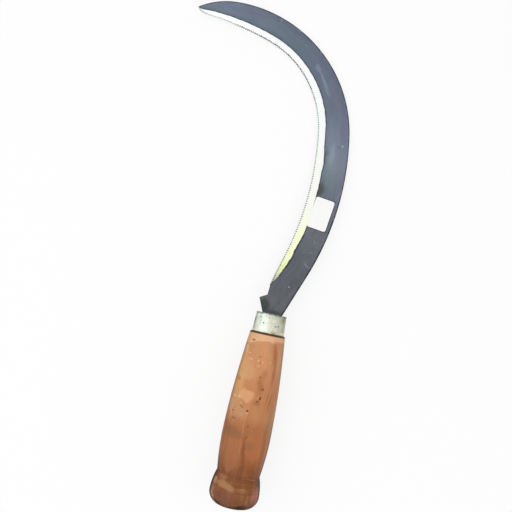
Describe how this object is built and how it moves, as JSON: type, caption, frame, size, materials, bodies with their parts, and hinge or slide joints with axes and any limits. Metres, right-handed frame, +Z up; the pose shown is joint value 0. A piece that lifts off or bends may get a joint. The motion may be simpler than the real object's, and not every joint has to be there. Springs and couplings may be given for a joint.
{
  "type": "hand sickle",
  "caption": "Old hand sickle: a curved plate blade with a finely toothed, one-sided bevel, its tang in a turned wooden handle with a steel ferrule.",
  "frame": {"origin": "centre of the base of the bounding box, on the table that the tool lies on", "axes": "+Y from the handle's knob towards the blade, +X towards the back of the blade, +Z up, square to the table, on the ground side"},
  "size_m": [0.1484, 0.4046, 0.0441],
  "materials": {
    "blade_steel": "satin",
    "ferrule_steel": "satin",
    "handle_wood": "satin",
    "label_paper": "matte"
  },
  "bodies": {
    "root": {"blade": "blade_steel", "ferrule": "ferrule_steel", "handle": "handle_wood", "price_label": "label_paper"}
  },
  "joints": []
}
